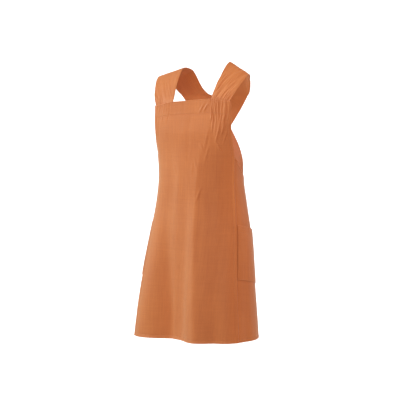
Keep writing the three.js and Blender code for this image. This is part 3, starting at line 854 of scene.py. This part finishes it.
def pocket(side):
    name = "left" if side > 0 else "right"
    edge_step = np.array([0, 0.6, 1.4, 2.4, 3.4, 5])
    inside = even(5, POCKET_WIDTH - 5, 2.8)[1:-1]
    across = np.concatenate([edge_step, inside, POCKET_WIDTH - edge_step[::-1]]) / POCKET_WIDTH
    mouth = POCKET_HEIGHT - np.array([24, 22.5, 21, 19.5, 18, 14, 9, 5, 2.4, 1, 0])
    height = np.concatenate([edge_step, even(5, POCKET_HEIGHT - 24, 2.8)[1:-1], mouth]) / POCKET_HEIGHT
    share, up = np.meshgrid(across, height)
    drop = POCKET_DROP + POCKET_HEIGHT * (1 - up) + POCKET_FALL * share
    gape = 0.7 * POCKET_GAPE * np.sin(np.pi * share**POCKET_SKEW) * smooth(up, 0, 1) * up
    behind_seam = SEAM_STEP + POCKET_SEAM_GAP
    drawn_forward = (behind_seam - 4.2 + 1.6 * (1 - up)) * (1 - smooth(share, 0, 0.3))
    distance = behind_seam + POCKET_WIDTH * share - drawn_forward
    from_side = np.minimum(share, 1 - share) * POCKET_WIDTH
    from_foot = up * POCKET_HEIGHT
    from_mouth = (1 - up) * POCKET_HEIGHT
    from_edge = np.minimum(from_side, from_foot)
    dips = np.exp(-(((from_edge - POCKET_STITCH) / 1.1) ** 2))
    dips = dips + np.exp(-(((from_mouth - MOUTH_STITCH) / 1.4) ** 2))
    shape = -0.28 * dips + 0.25 * noise(distance / 14, drop / 30, 31) * smooth(from_side, 2, 12)
    at_front = 0.9 * (1 - smooth(share * POCKET_WIDTH, 2, 16)) * smooth(up, 0, 0.3)
    puff = 0.5 * smooth(from_edge, 2, 14) + at_front
    out = CLOTH + PATCH_GAP + gape + shape + puff
    outer = back_point(side, distance, drop, out + CLOTH)
    inner = back_point(side, distance, drop, out - turned(from_mouth - 8))
    rows, columns = share.shape
    row_of = lambda value: float(np.interp(value / POCKET_HEIGHT, height, np.arange(rows)))
    col_of = lambda value: float(np.interp(value / POCKET_WIDTH, across, np.arange(columns)))
    long_rows = np.linspace(row_of(POCKET_STITCH), row_of(POCKET_HEIGHT - 2), 200)
    long_cols = np.linspace(col_of(POCKET_STITCH), col_of(POCKET_WIDTH - POCKET_STITCH), 200)
    seams = [
        seam_on(outer, long_rows, col_of(POCKET_STITCH), side < 0),
        seam_on(outer, long_rows, col_of(POCKET_WIDTH - POCKET_STITCH), side < 0),
        seam_on(outer, row_of(POCKET_STITCH), long_cols, side < 0),
        seam_on(outer, row_of(POCKET_HEIGHT - MOUTH_STITCH), long_cols, side < 0),
    ]
    wear_and_painted_light = np.exp(-((np.minimum(from_edge, from_mouth) / 1.8) ** 2))
    shell = wall(outer, inner, side < 0, shift=(0.21 * side, 0.05), edge=wear_and_painted_light)
    return make_piece(f"pocket_{name}_linen", shell, seams, LINEN)


# Straps
def catmull_rom(points, t):
    """Points on a centripetal curve through the given ones, t from 0 to 1."""
    points = np.asarray(points, float)
    last = len(points) - 1
    place = np.clip(t, 0, 1) * last
    i = np.clip(np.floor(place).astype(int), 0, last - 1)
    w = (place - i)[..., None]
    longer = np.concatenate([[2 * points[0] - points[1]], points, [2 * points[-1] - points[-2]]])
    p0, p1, p2, p3 = (longer[i + k] for k in range(4))
    gap = lambda a, b: np.sqrt(np.linalg.norm(b - a, axis=-1, keepdims=True))
    d0, d1, d2 = gap(p0, p1), gap(p1, p2), gap(p2, p3)
    m1 = ((p1 - p0) / d0 - (p2 - p0) / (d0 + d1) + (p2 - p1) / d1) * d1
    m2 = ((p2 - p1) / d1 - (p3 - p1) / (d1 + d2) + (p3 - p2) / d2) * d1
    c2 = -3 * p1 + 3 * p2 - 2 * m1 - m2
    c3 = 2 * p1 - 2 * p2 + m1 + m2
    return p1 + m1 * w + c2 * w**2 + c3 * w**3


def station(middle, width, slope, sweep):
    down, forward = np.radians(slope), np.radians(sweep)
    across = np.array([np.cos(down) * np.cos(forward), -np.cos(down) * np.sin(forward), -np.sin(down)])
    return middle - across * width / 2, middle + across * width / 2


def strap_stations(side):
    """Inner and outer edge points and how far each station lies on the back."""
    behind = -(PUCKER + 2 * GAP + CLOTH + STRAP_CLOTH / 2)

    def on_bib(share, drop):
        point = cloth_point(side * share * side_angle(drop), tilted(drop, side * share), behind)
        return point * [side, 1, 1]

    from_bib = lambda drop: (on_bib(STRAP_SHARE, drop), on_bib(share_inside(STRAP_EDGE), drop), 0)
    bib_top = from_bib(float(BIB_DROP))
    start = (bib_top[0] + bib_top[1]) / 2
    crest = np.array([SHOULDER_HALF, CREST_BACK, side * CREST_TILT - CREST_DROP])
    found = [from_bib(float(BIB_DROP + STRAP_TAIL)), bib_top]
    for across, depth, rise, slope, sweep in FRONT_ROUTE:
        middle = start + (crest - start) * [across, depth, rise]
        width = STRAP_FRONT_WIDTH + (STRAP_WIDTH - STRAP_FRONT_WIDTH) * rise
        found.append((*station(middle, width, slope + side * CREST_LEAN * rise, sweep), 0))
    edge = (BACK_OPENING + HEM_TURN) / 2
    cut = STRAP_WIDTH / np.cos(np.radians(CROSS_SLOPE))
    for across, depth, drop, slope, sweep, width, back in BACK_ROUTE:
        middle = np.array(
            [
                crest[0] + (-edge - cut / 2 - crest[0]) * across,
                depth * BLADE_DEPTH,
                crest[2] + (-BACK_DROP - crest[2]) * drop,
            ]
        )
        found.append((*station(middle, width * STRAP_WIDTH, slope, sweep), back))
    for drop in (BACK_DROP, BACK_DROP + STRAP_TAIL):
        found.append((np.array([-edge - cut, BLADE_DEPTH, -drop]), np.array([-edge, BLADE_DEPTH, -drop]), 1))
    return found


def pinched(width, length):
    """Two short folds where the far strap is sewn in."""
    total = 0
    for near, high, reach, height in ((74, 16, 26, 1.5), (64, 10, 18, 0.9)):
        above = length - STRAP_TAIL - high
        off = (width - near) - 0.75 * above
        total = total + height * np.exp(-((off / 3) ** 2)) * np.exp(-((above / reach) ** 2))
    return total


def strap(side, on_top):
    name = "left" if side > 0 else "right"
    stations = strap_stations(side)
    last = len(stations) - 1
    inner_edge = [s[0] for s in stations]
    outer_edge = [s[1] for s in stations]
    lying = np.array([[i, s[2]] for i, s in enumerate(stations)], float)
    in_back = -(HEM_EXTRA + PATCH_GAP + STRAP_CLOTH / 2)

    def middle(along, across):
        near, far = catmull_rom(inner_edge, along), catmull_rom(outer_edge, along)
        point = near + (far - near) * across[..., None]
        back = np.clip(look_up(lying, along * last, 1), 0, 1)
        from_crossing = np.abs(near[..., 0] + far[..., 0]) / 2 / np.sin(np.radians(CROSS_SLOPE))
        lifted = (1 - smooth(from_crossing, CROSS_REACH, CROSS_REACH + CROSS_RAMP)) * on_top
        drop = np.maximum(-point[..., 2], 90)
        out = in_back + lifted * back * (STRAP_CLOTH + 2 * GAP)
        on_back = cloth_point(angle_along(180, -point[..., 0], drop), drop, out)
        return np.where(back[..., None] > 0, point + (on_back - point) * back[..., None], point)

    rows, columns = 280, 64
    along, across = np.meshgrid(np.linspace(0, 1, rows), np.linspace(0, 1, columns), indexing="ij")
    nudge = 1e-3
    up = middle(np.minimum(along + nudge, 1), across) - middle(np.maximum(along - nudge, 0), across)
    out = middle(along, np.minimum(across + nudge, 1)) - middle(along, np.maximum(across - nudge, 0))
    normal = np.cross(out, up)
    normal /= np.linalg.norm(normal, axis=-1, keepdims=True)
    centre = middle(along, across)

    steps = np.linalg.norm(np.diff(centre[:, columns // 2], axis=0), axis=1)
    length = np.concatenate([[0], np.cumsum(steps)])[:, None]
    place = along * last
    width = across * STRAP_WIDTH
    shown = smooth(place, 1, 1.6) * (1 - smooth(place, 1.6, PLEAT_END))
    pleats = 0.3 * STRAP_PLEAT * shown * np.sin(2 * np.pi * PLEAT_WAVES * across)
    near_bib = smooth(place, 0.9, 1.5) * (1 - smooth(place, 2.2, 5.2))
    slant = 0.55
    fine = noise((width - slant * length * 0.5) / 4.5, (length + slant * width) / 42, 41 + int(side))
    finer = noise((width - slant * length * 0.3) / 2.6, (length + slant * width) / 26, 43 + int(side))
    front = smooth(place, 1.0, 1.4) * (1 - smooth(place, 5.5, 7.5))
    diagonal = noise((width - length * 0.36) / 7, (length + width) / 75, 47 + int(side))
    shape = pleats + near_bib * (1.5 * fine + 0.4 * finer) + 1.4 * front * diagonal
    if side < 0:
        shape = shape * 0.25 + pinched(width, length)
    shape = shape + 0.3 * noise(width / 16, length / 26, 51) * smooth(place, 1, 2)
    from_edge = np.minimum(across, 1 - across) * STRAP_WIDTH
    dip = -0.22 * np.exp(-(((from_edge - 3) / 1.1) ** 2))
    half = STRAP_CLOTH / 2
    thin = 1 - 0.35 * np.exp(-((from_edge / 0.8) ** 2))
    flip = np.array([side, 1, 1])
    outer = (centre + normal * (half * thin + shape + dip)[..., None]) * flip
    inner = (centre + normal * (-half * thin + shape - dip)[..., None]) * flip
    col = lambda mm: float(mm / STRAP_WIDTH * (columns - 1))
    reach = np.linspace(8, rows - 8, 700)
    seams = [seam_on(outer, reach, col(3), side < 0), seam_on(outer, reach, columns - 1 - col(3), side < 0)]
    # The straps are painted lighter for the light that falls on them, the wearer's left one more so; faded
    # holds this painted light
    faded = (1.5 if side > 0 else 0.3) * smooth(place, 1, 1.5)
    wear_and_painted_light = np.exp(-((from_edge / 1.6) ** 2)) + faded
    shell = wall(outer, inner, side < 0, shift=(2.1 * side, 0.7), edge=wear_and_painted_light)
    return make_piece(f"strap_{name}_linen", shell, seams, LINEN)


# Stage, light and camera, in metres
FLOOR = -1.62
FLOOR_END = 4.0
BEND = 2.5  # radius of the paper's bend from the floor to the wall
VIEW_AZIMUTH = 26
CAMERA_PLACE = (2.6202, -5.4022, 0.1005)
CAMERA_TARGET = (0, -0.030, -0.4224)
COOL = (0.92, 1.16, 1.1)

# Lights of one size round the apron: name, azimuth, power, colour
SIDE_LIGHTS = [
    ("key", -60, 38, COOL),
    ("left", -75, 16, COOL),
    ("right", 36, 20, (1.12, 0.84, 0.72)),
    ("right_rim", 120, 20, (1.12, 0.84, 0.55)),
]


def make_stage():
    profile = [(-9.0, FLOOR), (FLOOR_END, FLOOR)]
    bend = np.radians(np.linspace(0, 90, 17))[1:]
    profile += [(FLOOR_END + BEND * np.sin(t), FLOOR + BEND * (1 - np.cos(t))) for t in bend]
    profile.append((FLOOR_END + BEND, 7.0))
    half = 12.0
    points, faces = [], []
    view = np.radians(VIEW_AZIMUTH)
    forward, right = np.array([-np.sin(view), np.cos(view), 0]), np.array([np.cos(view), np.sin(view), 0])
    for y, z in profile:
        for x in (-half, half):
            points.append(tuple(forward * y + right * x + [0, 0, z]))
    for i in range(len(profile) - 1):
        faces.append((2 * i, 2 * i + 1, 2 * i + 3, 2 * i + 2))
    mesh = bpy.data.meshes.new("backdrop")
    mesh.from_pydata(points, [], faces)
    mesh.polygons.foreach_set("use_smooth", np.ones(len(faces), bool))
    material, _, shader = new_material("paper")
    shader.inputs["Base Color"].default_value = (0.9, 0.9, 0.9, 1)
    shader.inputs["Roughness"].default_value = 0.95
    mesh.materials.append(material)
    backdrop = bpy.data.objects.new("backdrop", mesh)
    bpy.context.scene.collection.objects.link(backdrop)


def aim(thing, target):
    direction = Vector(target) - thing.location
    thing.rotation_mode = "QUATERNION"
    thing.rotation_quaternion = direction.to_track_quat("-Z", "Y")


def area_light(name, azimuth, height, distance, size, power, colour=(1, 1, 1), target=(0, 0, -0.4)):
    data = bpy.data.lights.new(name, "AREA")
    data.shape = "RECTANGLE"
    data.size, data.size_y = size
    data.energy = power
    data.color = colour
    light = bpy.data.objects.new(name, data)
    turn = np.radians(azimuth)
    light.location = (np.sin(turn) * distance, -np.cos(turn) * distance, height)
    aim(light, target)
    bpy.context.scene.collection.objects.link(light)


def light_scene():
    world = bpy.data.worlds.new("studio")
    world.use_nodes = True
    world.node_tree.nodes["Background"].inputs["Color"].default_value = (1, 1, 1, 1)
    world.node_tree.nodes["Background"].inputs["Strength"].default_value = 0.25
    bpy.context.scene.world = world
    for name, azimuth, power, colour in SIDE_LIGHTS:
        area_light(name, azimuth, 0.9, 2.4, (1.0, 1.4), power, colour=colour)
    above = (0, -0.1, -0.12)
    area_light("top", 0, 1.5, 1.6, (0.7, 0.7), 11, colour=(0.93, 1.14, 1.05), target=above)
    area_light("paper_light", 206, 1.6, 3.4, (5.0, 1.5), 210, target=(-1.9, 4.2, 0.2))
    bpy.context.scene.view_settings.view_transform = "Standard"


def make_camera():
    data = bpy.data.cameras.new("camera")
    data.lens, data.sensor_width = 168.75, 36
    data.clip_start, data.clip_end = 0.1, 60
    camera = bpy.data.objects.new("camera", data)
    camera.location = CAMERA_PLACE
    aim(camera, CAMERA_TARGET)
    bpy.context.scene.collection.objects.link(camera)
    bpy.context.scene.camera = camera


make_camera()
make_stage()
light_scene()

front = front_panel()
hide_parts("front_panel")
band = bib_band()
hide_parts("bib_band")
backs, pockets, straps = {}, {}, {}
for name, side in (("left", 1), ("right", -1)):
    backs[name] = back_panel(side)
    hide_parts(f"back_panel_{name}")
    pockets[name] = pocket(side)
    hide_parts(f"pocket_{name}")
    straps[name] = strap(side, side > 0)
    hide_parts(f"strap_{name}")
